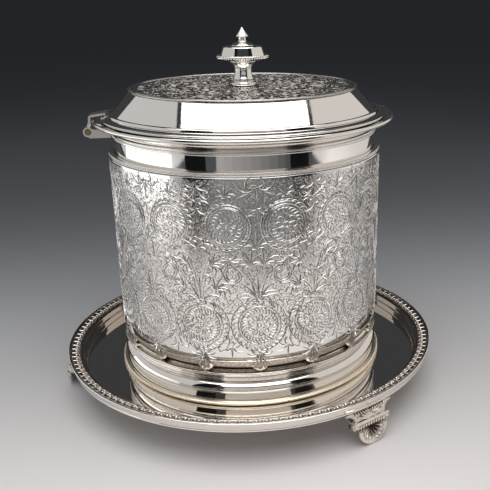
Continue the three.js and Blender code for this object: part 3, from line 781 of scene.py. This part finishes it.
RIDGE_OFFSET = 0.42
RIDGE_WIDTH = 1.15
ridged = Finish("chased_ridges", Metallic=1.0)
ridged.feed("Roughness", 0.22 + 0.12 * ridged.noise(300, 2))
ridged.mottle(90, 3, 0.45, 0.8, (0.97, 0.955, 0.935), (0.88, 0.85, 0.81))
ridges = [(beside(points, RIDGE_OFFSET), width * RIDGE_WIDTH) for points, width in strokes]
lines("drum_scroll_ridges", ridges, on_drum, REPEATS, ridged, "chased_plate", "barrel")
lines("drum_ground_curls", curls, on_drum, REPEATS, lined, "chased_plate", "barrel")

# Under each lower rosette a cluster of leaves is raised out of the drum. It laps down over the
# drawn-in foot to the plinth's edge.
def lobe(bm, half_width, proud, half_length, place, steps):
    """An egg-shaped leaf, long along Z before place turns it and moves it."""
    made = bmesh.ops.create_uvsphere(bm, u_segments=steps[0], v_segments=steps[1], radius=MM)
    bmesh.ops.scale(bm, vec=(half_width, proud, half_length), verts=made["verts"])
    bmesh.ops.transform(bm, matrix=place, verts=made["verts"])
    return made["verts"]


cluster_reach = plinth_radius - 0.3
cluster = bmesh.new()
base = Matrix.Translation((0, -(cluster_reach - 2.0) * MM, 44.2 * MM))
lobe(cluster, 5.4, 1.8, 7.4, base, (20, 12))
for side in (-2, -1, 0, 1, 2):
    middle = (1.7 * side * MM, -(cluster_reach - 0.6 - 0.2 * side**2) * MM, (40.6 + 0.55 * side**2) * MM)
    place = Matrix.Translation(middle) @ Matrix.Rotation(-0.2 * side, 4, "Y")
    lobe(cluster, 1.25, 0.38, 3.0, place, (10, 6))
cluster.transform(Matrix.Rotation(CHASING_START / drum_radius, 4, "Z"))
leafy = Finish("raised_leaves", Metallic=1.0, Roughness=0.3)
leafy.mottle(500, 2, 0.35, 0.65, (0.90, 0.86, 0.81), (0.58, 0.52, 0.45))
clusters = repeated(bmesh.new(), settled("cluster", cluster), 2 * REPEATS)
piece("drum_leaf_clusters", clusters, leafy, "chased_plate", "barrel")


def on_cluster(across, level):
    aside = across - half * round(across / half)
    proud = cluster_reach + 0.08 - 0.045 * aside**2 - 0.02 * (level - 44) ** 2
    return around(proud, (across + CHASING_START) / drum_radius - math.pi / 2, level)


veins = []
for line in (0, half):
    for side in (-1, -0.55, 0, 0.55, 1):
        reach = 13 - 3 * abs(side)
        shares = (0.1, 0.3, 0.5, 0.7, 0.9)
        vein = [(line + side * reach * (0.32 * t + 0.12 * t * t), 50.5 - reach * t) for t in shares]
        veins.append((vein, 0.16))
    for side in (-1, 1):
        shares = (0, 0.2, 0.4, 0.6, 0.8, 1)
        edge = [(line + side * (2.2 + 2.6 * math.sin(2.2 * t)), 51 - 11.5 * t) for t in shares]
        veins.append((edge, 0.2))
lines("drum_leaf_veins", veins, on_cluster, REPEATS, lined, "chased_plate", "barrel")

# The neck is let into the drum and flares out to the mouth, whose milled rim carries the lid.
# Two beaded wires are soldered round it, above and below its plain band.
neck_outer, neck_low, mouth_top = limits("neck")
neck_radius = shoulder - SEAM
mouth_low = mouth_top - 1.3
flare_low = mouth_low - 4.7
outline = [
    (neck_radius, neck_low),
    (neck_radius, flare_low),
    *bow((neck_radius, flare_low), (neck_outer, mouth_low), 1.5, 12),
    (neck_outer, mouth_low),
    (neck_outer, mouth_top),
    (neck_outer - 6.7, mouth_top),
    (neck_radius, mouth_top - 2.5),
    (neck_radius - SHEET, flare_low + SHEET / 2),
    (neck_radius - SHEET, neck_low),
]
piece("neck_band", turned(outline, 0.3), polished, "bright_plate", "barrel", "neck")


def beads(bm, radius, level, bead, count, tall):
    """A row of count small beads round the barrel's axis, sunk halfway into what is behind them."""
    one = bmesh.new()
    bmesh.ops.create_uvsphere(one, u_segments=6, v_segments=4, radius=bead * MM)
    bmesh.ops.scale(one, vec=(1, 1, tall), verts=one.verts)
    bmesh.ops.translate(one, vec=(radius * MM, 0, level * MM), verts=one.verts)
    repeated(bm, settled("bead", one), count)


BEAD_PITCH = 0.95
milled = bright_silver("milled_silver", 0.14, 0.12)


def beaded(name, outline, soft, node, inset, bead, tall, pitch, finish):
    """A turned wire with a row of beads that stand so far inside its outer edge."""
    radius, low, high = limits(node)
    wire = turned(outline, soft)
    beads(wire, radius - inset, (low + high) / 2, bead, round(2 * math.pi * radius / pitch), tall)
    piece(name, wire, finish, "cast_plate", "barrel", node)


wall = neck_radius + SEAM
radius, low, high = limits("neck_lower_wire")
middle = (low + high) / 2
outline = [
    (wall, low),
    (radius - 0.55, low),
    *bow((radius - 0.45, low), (radius - 0.4, low + 0.75), -0.3, 5),
    (radius - 0.55, middle - 0.38),
    (radius - 0.55, middle + 0.38),
    *bow((radius - 0.4, high - 0.75), (radius - 0.45, high), -0.3, 5),
    (radius - 0.9, high),
    (wall, high - 0.3),
]
beaded("neck_bead_lower", outline, 0.1, "neck_lower_wire", 0.45, 0.44, 1.0, BEAD_PITCH, milled)

radius, low, high = limits("neck_upper_wire")
middle = (low + high) / 2
outline = [
    (wall, low),
    *bow((wall, low), (radius - 0.35, low + 0.95), -0.3, 5),
    (radius - 0.4, middle - 0.5),
    (radius - 0.4, middle + 0.5),
    *bow((radius - 0.35, high - 0.95), (wall, high), -0.3, 5),
    (wall, high),
]
beaded("neck_bead_upper", outline, 0.1, "neck_upper_wire", 0.5, 0.48, 1.0, BEAD_PITCH, milled)

# The mouth's edge is stiffened by a milled wire, whose beads are tall and narrow. A wire of larger
# beads, gone warm and dull, runs where the skirt stands on the tray. Both are soldered on.
wall = neck_outer + SEAM
radius, low, high = limits("rim_wire")
outline = half_round(wall, radius - neck_outer - SEAM, low, high - low)
beaded("mouth_milled_wire", outline, 0.05, "rim_wire", 0.42, 0.4, 1.6, BEAD_PITCH, milled)

warm_milled = bright_silver("warm_milled_silver", 0.24, 0.12, (0.95, 0.85, 0.70))
wall = skirt_radius + SEAM
radius, low, high = limits("base_wire")
outline = half_round(wall, radius - skirt_radius - SEAM - 0.35, low, high - low)
beaded("skirt_bead_wire", outline, 0.05, "base_wire", 0.62, 0.6, 1.0, 1.3 * BEAD_PITCH, warm_milled)

# The lid is spun sheet, plated and polished like a mirror: a flat top, a steep slope, and a thin
# edge that rests on the mouth.
lid_radius, lid_low, lid_top = limits("lid_shell")
slope_foot = lid_radius - 4.5
slope_top = slope_foot - 11
stud_hole = 1.9
FLANGE_RISE = 3.0
FLANGE_EDGE = 1.6
outline = [
    (stud_hole, lid_top),
    (slope_top - 0.4, lid_top),
    (slope_top, lid_top - 0.4),
    (slope_foot, lid_low + FLANGE_RISE),
    *bow((slope_foot, lid_low + FLANGE_RISE), (lid_radius, lid_low + FLANGE_EDGE), 0.15, 8),
    (lid_radius, lid_low + FLANGE_EDGE),
    (lid_radius, lid_low),
    (slope_foot - 0.9, lid_low),
    (slope_top - 0.9, lid_top - SHEET),
    (stud_hole, lid_top - SHEET),
]
piece("lid_sheet", turned(outline, 0.25), polished, "bright_plate", "lid", "lid_shell")

# Three wires are soldered to the lid: a round one that stiffens its edge, a plain one at the foot of
# the slope, and a stepped one, now dull, round the engraved plate on its top.
radius, low, high = limits("lid_edge_wire")
wall = lid_radius + 0.05
outline = half_round(wall, radius - lid_radius - 0.05, low, high - low)
piece("lid_edge_bead", turned(outline, 0.05), polished, "bright_plate", "lid", "lid_edge_wire")

radius, low, high = limits("lid_slope_ring")
outline = [
    (radius - 1.5, low + SEAM),
    (radius, low),
    *bow((radius, low + 0.2), (radius - 1.5, high), -0.45, 8),
    (radius - 1.5, high),
]
piece("lid_base_ring", turned(outline, 0.05), polished, "bright_plate", "lid", "lid_slope_ring")

radius, low, high = limits("lid_top_wire")
height = high - low
outline = [
    *half_round(radius - 0.5, 0.5, low, height, 8),
    (radius - 0.85, high - 0.55),
    (radius - 1.2, high - 0.55),
    *bow((radius - 1.3, high - 0.4), (radius - 2.1, high - 0.4), -0.4, 6),
    (radius - 2.2, low),
]
ring_silver = bright_silver("dulled_silver", 0.2, 0.1, (0.60, 0.57, 0.53))
piece("lid_top_ring", turned(outline, 0.08), ring_silver, "bright_plate", "lid", "lid_top_wire")

# The lid's top plate is a disc of sheet, engraved all over by hand: a ring of rosettes, with scrolls
# and sprays between them, and small curls in what room is left.
plate_radius, plate_low, plate_high = limits("lid_top_plate")
outline = [
    (stud_hole, plate_low),
    (plate_radius, plate_low),
    (plate_radius, plate_high),
    (stud_hole, plate_high),
]
piece("lid_engraved_plate", turned(outline, 0.15), chased, "chased_plate", "lid", "lid_top_plate")

SECTORS = 12
TRUE_REACH = 40.0  # radius at which a distance across is true
ENGRAVED_EYE = 9.5  # the foot of the finial covers what is inside
sector = 2 * math.pi * TRUE_REACH / SECTORS


def on_plate(across, out):
    return around(out, across / TRUE_REACH, plate_high)


def in_plate(across, out):
    return abs(across) < sector / 2 and ENGRAVED_EYE < out < plate_radius - 1.6


engraving = rosette((0, 45), 8.0, 8, 18)
engraving += frond((0, 36), -UP, 9, 7)
engraving += frond((0, 54.5), UP, 7, 7)
for side in (-1, 1):
    scroll = spiral((side * 6.4, 29), 4.4, 1.3, 0.25 - 0.25 * side, 1.3 * side, 18)
    engraving += [(scroll, 0.34), (beside(scroll, -0.9), 0.24)]
    engraving += frond((side * 9.6, 38), UP + 0.3 * side, 10, 5, 0.5 * side)
    engraving += frond((side * 5.5, 57.5), UP - 0.5 * side, 5, 5, -0.4 * side)
    engraving += frond((side * 4.8, 20), -UP + 0.2 * side, 7, 5)
engraving.append(([(sector * (i / 8 - 0.5), plate_radius - 1.2) for i in range(9)], 0.3))
low, high = (-sector / 2, ENGRAVED_EYE), (sector / 2, plate_radius)
engraving += fill_with_curls(engraving, random.Random(11), low, high, in_plate, 1.5)
ENGRAVED_WIDTH = 0.7  # these lines are so much finer than the drum's
engraving = [(points, width * ENGRAVED_WIDTH) for points, width in engraving]
cut = Finish("engraved_lines", Metallic=1.0, Roughness=0.3)
cut.mottle(330, 3, 0.35, 0.65, (0.33, 0.305, 0.28), (0.05, 0.045, 0.04))
lines("lid_engraving", engraving, on_plate, SECTORS, cut, "chased_plate", "lid")

# Under the lid a plain ring of sheet is soldered, which drops into the neck and keeps the lid in
# place. Like all that is out of sight it is left dull.
plain = bright_silver("plain_silver", 0.2, 0.15)
radius, low, high = limits("lid_bezel")
outline = [
    (radius - 1, low),
    (radius, low),
    (radius, high - 1.2),
    (radius - 1, high),
]
piece("lid_bezel_ring", turned(outline, 0.3), plain, "dull_plate", "lid", "lid_bezel")

# The finial is five turned pieces threaded on a stud: a stepped foot, a trumpet stem,
# a gadrooned saucer, a plain drum, and a boss with a little cone on its stalk.
FINE_STEPS = 96
satin = bright_silver("finial_silver", 0.13, 0.10, (0.94, 0.915, 0.87))
radius, low, high = limits("finial_base")
outline = [
    (stud_hole, low),
    (radius - 0.6, low),
    *bow((radius - 0.6, low), (radius - 0.5, low + 2), -0.5, 8),
    (radius - 0.9, low + 2),
    (radius - 1.4, low + 2.1),
    (radius - 1.4, high),
    (stud_hole, high),
]
piece("finial_foot", turned(outline, 0.15, FINE_STEPS), satin, "bright_plate", "lid", "finial_base")

stem_radius, stem_low, stem_high = limits("finial_stem")
waist = (4.9, stem_low + 0.45 * (stem_high - stem_low))
outline = [
    (stud_hole, stem_low),
    (6.0, stem_low),
    (6.0, stem_low + 0.5),
    *bow((5.9, stem_low + 0.7), waist, 0.25, 6),
    waist,
    *bow(waist, (stem_radius - 0.1, stem_high - 0.6), 0.95, 10),
    (stem_radius, stem_high - 0.4),
    (stem_radius, stem_high),
    (stud_hole, stem_high),
]
piece("finial_trumpet", turned(outline, 0.12, FINE_STEPS), satin, "bright_plate", "lid", "finial_stem")

saucer_radius, saucer_low, saucer_high = limits("finial_saucer")
drum_foot, knob_low, knob_high = limits("finial_drum")
outline = [
    (stud_hole, saucer_low),
    (stem_radius, saucer_low),
    *bow((stem_radius, saucer_low), (saucer_radius - 0.5, saucer_high - 0.6), -0.8, 10),
    *bow((saucer_radius - 0.3, saucer_high - 0.5), (saucer_radius - 0.9, saucer_high), -0.2, 4),
    (drum_foot + 0.3, saucer_high - 1.1),
    (stud_hole, saucer_high - 1.1),
]
saucer_bm = turned(outline, 0.1, FINE_STEPS)
GADROONS = 60
beads(saucer_bm, saucer_radius - 0.7, saucer_high - 0.95, 0.6, GADROONS, 1.5)
piece("finial_gadroon_saucer", saucer_bm, satin, "bright_plate", "lid", "finial_saucer")

outline = [
    (stud_hole, knob_low),
    (drum_foot, knob_low),
    (drum_foot - 1.7, knob_high - 0.4),
    (drum_foot - 2.1, knob_high),
    (stud_hole, knob_high),
]
piece("finial_knob", turned(outline, 0.25, FINE_STEPS), polished, "bright_plate", "lid", "finial_drum")

radius, low, high = limits("finial_tip")
disc_top = low + 2.2
cone_low = disc_top + 3
outline = [
    (0, high),
    (0.2, high - 0.25),
    (0.45, high - 0.6),
    (3.65, cone_low + 0.4),
    *bow((3.65, cone_low + 0.4), (3.4, cone_low - 0.1), 0.1, 3),
    (2.2, cone_low - 0.4),
    *bow((2.2, cone_low - 0.4), (2.5, disc_top + 0.1), -0.25, 6),
    (2.6, disc_top),
    *bow((2.6, disc_top), (radius - 0.2, low + 0.5), 0.35, 8),
    (radius, low + 0.3),
    (radius, low),
    (stud_hole, low),
    (stud_hole, disc_top - 0.6),
    (0, disc_top - 0.6),
]
piece("finial_boss_and_cone", turned(outline, 0.12, FINE_STEPS), satin, "bright_plate", "lid", "finial_tip")

# The tray's border is a cast strip soldered on the rim: sprays of three leaves between small scrolls
# stand out of a ground with painted shade, as in the gaps of pierced work, with a plain fillet on each
# side.
# Painted shade: the ground's colour is a mottled dark that stands in for the shade in the border's gaps.
pierced_gap_shade = Finish("painted_shade_ground", Metallic=1.0, Roughness=0.38)
pierced_gap_shade.mottle(520, 3, 0.40, 0.62, (0.10, 0.085, 0.07), (0.42, 0.37, 0.32))

strip_inner = (border_inner + SEAM, seat_inner + SEAM)
strip_outer = (border_outer - SEAM, seat_outer + SEAM)
strip_width = strip_outer[0] - strip_inner[0]
strip_slope = (strip_outer[1] - strip_inner[1]) / strip_width
STRIP_THICK = 0.5
BORDER_REPEATS = 130
strip_middle = strip_inner[0] + strip_width / 2
border_arc = 2 * math.pi * strip_middle / BORDER_REPEATS


def strip_at(out, proud):
    """The strip's section: so far out from its inner edge, and so far above its underside."""
    return strip_inner[0] + out, strip_inner[1] + strip_slope * out + proud


def on_strip(across, out):
    radius, level = strip_at(out, STRIP_THICK)
    return around(radius, across / strip_middle, level)


outline = [
    strip_at(0, 0),
    strip_at(0, STRIP_THICK),
    *bow(strip_at(0, STRIP_THICK), strip_at(0.9, STRIP_THICK), 0.3, 6),
    strip_at(0.95, 0.4),
    strip_at(strip_width - 0.75, 0.4),
    *bow(strip_at(strip_width - 0.7, STRIP_THICK), strip_at(strip_width, STRIP_THICK), 0.25, 6),
    strip_at(strip_width, STRIP_THICK),
    strip_at(strip_width, 0),
]
piece("border_ground", turned(outline, 0.05), pierced_gap_shade, "cast_plate", "barrel", "tray_border")

ornament = [(points, 0.30) for points, _ in frond((0, 1.4), UP, 3.9, 3)]
for side in (-1, 1):
    centre = (side * 1.75, strip_width / 2 - 0.7)
    ornament.append((spiral(centre, 0.85, 0.3, 0.25 + 0.25 * side, -0.9 * side, 6), 0.26))
for out in (1.2, strip_width - 1.1):
    ornament.append(([(border_arc * (i / 3 - 0.5), out) for i in range(4)], 0.18))
worked = Finish("border_silver", Metallic=1.0)
worked.mottle(350, 3, 0.3, 0.7, (0.90, 0.84, 0.785), (0.68, 0.61, 0.55))
worked.feed("Roughness", 0.27 + 0.1 * worked.noise(180, 2))
lines("border_ornament", ornament, on_strip, BORDER_REPEATS, worked, "cast_plate", "barrel")

# Three cast feet are soldered under the rim. Each is a leafy bracket on a bar with a row of eggs and
# scroll ends, over a fluted scallop shell whose rolled lip stands on the table. They are modelled
# with X along the tray's edge and Y outwards, and their recesses are tarnished.
cast = Finish("cast_silver", Metallic=1.0)
recess = cast.node("ShaderNodeAttribute", {"attribute_name": "recess"}, {}, "Fac")
worn = cast.noise(260, 3).step(0.35, 0.75)
raised_colour = cast.mix(worn * 0.6, (0.90, 0.85, 0.78), (0.70, 0.62, 0.52))
cast.feed("Base Color", cast.mix(recess, raised_colour, (0.12, 0.09, 0.065)))
cast.feed("Roughness", 0.22 + worn * 0.14 + recess * 0.3)
cast.feed("Normal", cast.bump(cast.noise(1300, 3), 0.00002))

toe_front = -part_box("foot_left")[0].x / MM - 1.3
SHELL_RADIUS = 10.3
LIP = 1.25
DISH = 3.6
FLUTES = 9
SHELL_CENTRE = SHELL_RADIUS - 0.1
BAR_DEPTH = 6.6
PANEL_DEPTH = 2.2
bar_low = 11.0
bar_top = bar_low + 4.2
bar_front = tray_radius + 0.6
bar_back = bar_front - BAR_DEPTH
panel_face = bar_front - 1.9
bracket_top = rim_low - SEAM
lip_centre = (SHELL_RADIUS - LIP, toe_front - LIP)
hollow = toe_front - LIP - DISH

foot = bmesh.new()
recessed = foot.verts.layers.float.new("recess")
LIP_STEPS = 16
lip_angles = [math.pi * (0.8 - 1.35 * i / LIP_STEPS) for i in range(LIP_STEPS + 1)]
lip = [(lip_centre[0] + LIP * math.cos(a), lip_centre[1] + LIP * math.sin(a)) for a in lip_angles]
back = hollow - SHEET
section = [(0, hollow), *bow((0, hollow), lip[0], -DISH / 4, 12), *lip, (6.2, back), (0, back)]
corners = [foot.verts.new((x * MM, y * MM, 0)) for x, y in section]
for here, after in zip(corners, corners[1:]):
    foot.edges.new((here, after))
bmesh.ops.spin(
    foot, geom=foot.verts[:] + foot.edges[:], cent=(0, 0, 0), axis=(0, 1, 0),
    angle=math.pi, steps=FLUTES * 10, use_merge=False, use_duplicate=False,
)
bmesh.ops.remove_doubles(foot, verts=foot.verts, dist=1e-7)
bmesh.ops.holes_fill(foot, edges=[e for e in foot.edges if e.is_boundary], sides=0)
for vert in foot.verts:
    reach = math.hypot(vert.co.x, vert.co.z) / MM
    if reach < lip[0][0] and vert.co.y / MM > hollow - SHEET / 2:
        swell = math.sin(math.pi * reach / lip[0][0]) ** 0.7
        wave = math.cos(2 * FLUTES * math.atan2(vert.co.z, vert.co.x))
        vert.co.y += 0.9 * swell * wave * MM
        vert[recessed] = min(1, (1 - reach / lip[0][0]) ** 1.5 + swell * (0.6 - 0.6 * wave))
    vert.co.z = max(vert.co.z + SHELL_CENTRE * MM, 0)


def soften(edges, soft, segments):
    """Rounds edges of the foot, in so many steps."""
    bmesh.ops.bevel(
        foot, geom=list(dict.fromkeys(edges)), offset=soft * MM, segments=segments,
        profile=0.5, affect="EDGES", material=-1,
    )


def block(width, depth, height, back, low, soft, dark):
    """A block of the foot with soft edges, on its middle line. dark is its share of tarnish."""
    made = bmesh.ops.create_cube(foot, size=MM)["verts"]
    bmesh.ops.scale(foot, vec=(width, depth, height), verts=made)
    bmesh.ops.translate(foot, vec=(0, (back + depth / 2) * MM, (low + height / 2) * MM), verts=made)
    for vert in made:
        vert[recessed] = dark
    soften([edge for vert in made for edge in vert.link_edges], soft, 3)


block(25, BAR_DEPTH, 1.8, bar_back, bar_top - 1.8, 0.45, 0.0)
block(23.6, 5.0, 3.2, bar_back, bar_low - 0.7, 0.3, 0.9)
EGGS, EGG_PITCH = 11, 1.88
for i in range(EGGS):
    across = (i - (EGGS - 1) / 2) * EGG_PITCH
    egg = Matrix.Translation((across * MM, (bar_front - 1.7) * MM, (bar_low + 0.9) * MM))
    for vert in lobe(foot, 0.78, 1.35, 1.9, egg, (10, 8)):
        vert[recessed] = min(1, max(0, 0.8 - (vert.co.y / MM - bar_front + 1.7) / 1.1))
for side in (-1, 1):
    place = Matrix.Translation((side * 11.5 * MM, (bar_front - 2.2) * MM, (bar_low + 1.7) * MM))
    for radius, depth in ((2.2, 2.0), (1.55, 2.5), (0.8, 3.0)):
        made = bmesh.ops.create_cone(
            foot, cap_ends=True, cap_tris=False, segments=28, radius1=radius * MM, radius2=radius * MM,
            depth=depth * MM, matrix=place @ Matrix.Rotation(math.pi / 2, 4, "Y"),
        )["verts"]
        soften([edge for vert in made for edge in vert.link_edges if edge.calc_face_angle(0) > 1], 0.2, 2)

flare_foot, flare_head = (10.8, bar_top - 0.2), (16.5, bracket_top - 1.1)
right = [flare_foot, *bow(flare_foot, flare_head, 1.6, 12), flare_head, (flare_head[0], bracket_top)]
outline = right + [(-x, z) for x, z in reversed(right)]
base = [foot.verts.new((x * MM, (panel_face - PANEL_DEPTH) * MM, z * MM)) for x, z in outline]
made = bmesh.ops.extrude_face_region(foot, geom=[foot.faces.new(base)])["geom"]
panel = [part for part in made if isinstance(part, bmesh.types.BMVert)]
bmesh.ops.translate(foot, vec=(0, PANEL_DEPTH * MM, 0), verts=panel)
for vert in panel:
    vert[recessed] = 0.45 if abs(vert.co.x) < 9 * MM else 0.05


def leaf(x, z, heading, length, half_width, proud):
    """A leaf on the bracket's face, from its root towards the heading in degrees from upright."""
    turn = math.radians(heading)
    middle = Vector((x + length / 2 * math.sin(turn), panel_face, z + length / 2 * math.cos(turn)))
    place = Matrix.Translation(middle * MM) @ Matrix.Rotation(turn, 4, "Y")
    for vert in lobe(foot, half_width, proud, length / 2, place, (10, 10)):
        vert[recessed] = max(0, 0.6 - (vert.co.y / MM - panel_face) / proud)


for heading, length in ((0, 5.0), (24, 5.3), (45, 6.2), (62, 7.8), (75, 9.6)):
    for side in ((1,) if heading == 0 else (-1, 1)):
        leaf(0, bar_top - 0.1, side * heading, length, 0.85, 1.0)
for i in range(6):
    for side in (-1, 1):
        leaf(side * (0.9 + 1.7 * i), bracket_top - 1.6, side * 35, 1.9, 0.5, 0.8)
for vert in foot.verts:
    up = (vert.co.z / MM - bar_top) / (bracket_top - bar_top)
    if up > 0:
        vert.co.y -= vert.co.x**2 / (2 * rim_low_radius * MM) + (0.9 * min(up, 1) - 0.4) * MM
bmesh.ops.recalc_face_normals(foot, faces=foot.faces)
foot_mesh = settled("foot", foot)
for i, name in enumerate(("foot_left", "foot_front_right", "foot_rear_right")):
    bm = bmesh.new()
    bm.from_mesh(foot_mesh)
    bm.transform(Matrix.Rotation(math.pi / 2 + 2 * math.pi * i / 3, 4, "Z"))
    piece(name + "_casting", bm, cast, "cast_plate", "barrel", name, sharp=60)

# The hinge, the floor and the fixings keep their own solids: plate on the hinge's leaves, bare brass
# on its pin, and dull plate out of sight.
brass = Finish("worn_brass", Metallic=1.0)
brass.feed("Roughness", 0.30 + 0.15 * brass.noise(500, 3))
brass.mottle(300, 3, 0.3, 0.7, (0.42, 0.34, 0.19), (0.20, 0.17, 0.11))
hinge_silver = bright_silver("hinge_silver", 0.22, 0.15, (0.95, 0.90, 0.83))
for name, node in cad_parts.items():
    if not node.hide_render:
        finish = hinge_silver if name in ("hinge_bracket", "lid_hinge_leaf") else plain
        node.data.materials.clear()
        node.data.materials.append(brass.material if name == "hinge_pin" else finish.material)

low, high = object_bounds()
